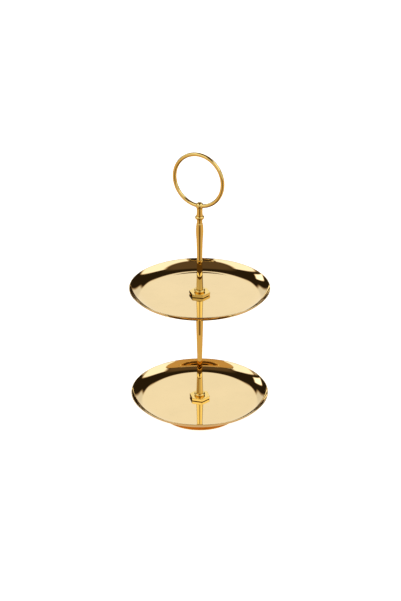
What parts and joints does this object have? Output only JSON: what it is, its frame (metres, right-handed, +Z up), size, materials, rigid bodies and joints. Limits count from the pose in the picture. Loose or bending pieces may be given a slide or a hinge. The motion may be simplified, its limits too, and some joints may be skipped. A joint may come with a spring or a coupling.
{
  "type": "tiered cake stand",
  "caption": "Tiered cake stand in mirror-polished gold: shallow round plates on a turned central post with a spun foot and a ring handle.",
  "frame": {"origin": "on the table, at the centre of the foot's underside", "axes": "+Z up along the post, -Y towards the front, +X to the right"},
  "size_m": [0.18, 0.18, 0.3615],
  "materials": {
    "plate_gold": "mirror-polished pale gold plating on spun steel, faint spinning marks",
    "foot_gold": "polished gold plating, a little deeper in tone",
    "polished_gold": "mirror-polished gold plating",
    "plated_steel": "zinc-plated, slightly dull",
    "black_rubber": "matt moulded rubber",
    "clear_nylon": "milky nylon sheet"
  },
  "bodies": {
    "root": {"foot_ring": "foot_gold", "base_screw": "plated_steel", "base_washer": "plated_steel", "base_rubber_washer": "black_rubber", "lower_plate": "plate_gold"},
    "lower_gasket": {"lower_gasket": "clear_nylon"},
    "lower_rod": {"lower_hex_grip": "polished_gold", "lower_collar": "polished_gold", "lower_rod": "polished_gold", "joining_stud": "plated_steel", "joint_washer": "polished_gold", "joint_rubber_washer": "black_rubber", "upper_plate": "plate_gold"},
    "upper_gasket": {"upper_gasket": "clear_nylon"},
    "upper_rod": {"upper_hex_grip": "polished_gold", "upper_collar": "polished_gold", "upper_rod": "polished_gold", "handle_stud": "plated_steel"},
    "handle_bead": {"handle_bead": "polished_gold"},
    "handle": {"handle_boss": "polished_gold", "ring_handle": "polished_gold"}
  },
  "joints": [
    {"name": "lower_rod_lift", "type": "slide", "parent": "root", "child": "lower_gasket", "axis": [0, 0, 1], "range_m": [0, 0.01]},
    {"name": "lower_rod_turn", "type": "hinge", "parent": "lower_gasket", "child": "lower_rod", "pos_m": [0, 0, 0.02005], "axis": [0, 0, 1], "range_deg": [0, 3600]},
    {"name": "upper_rod_lift", "type": "slide", "parent": "lower_rod", "child": "upper_gasket", "axis": [0, 0, 1], "range_m": [0, 0.01]},
    {"name": "upper_rod_turn", "type": "hinge", "parent": "upper_gasket", "child": "upper_rod", "pos_m": [0, 0, 0.17085], "axis": [0, 0, 1], "range_deg": [0, 3600]},
    {"name": "handle_lift", "type": "slide", "parent": "upper_rod", "child": "handle_bead", "axis": [0, 0, 1], "range_m": [0, 0.0072]},
    {"name": "handle_turn", "type": "hinge", "parent": "handle_bead", "child": "handle", "pos_m": [0, 0, 0.27965], "axis": [0, 0, 1], "range_deg": [0, 3240]}
  ],
  "couplings": [
    {"joint": "lower_rod_turn", "follows": "lower_rod_lift", "rad_per_m": 6283.2},
    {"joint": "upper_rod_turn", "follows": "upper_rod_lift", "rad_per_m": 6283.2},
    {"joint": "handle_turn", "follows": "handle_lift", "rad_per_m": 7854}
  ]
}
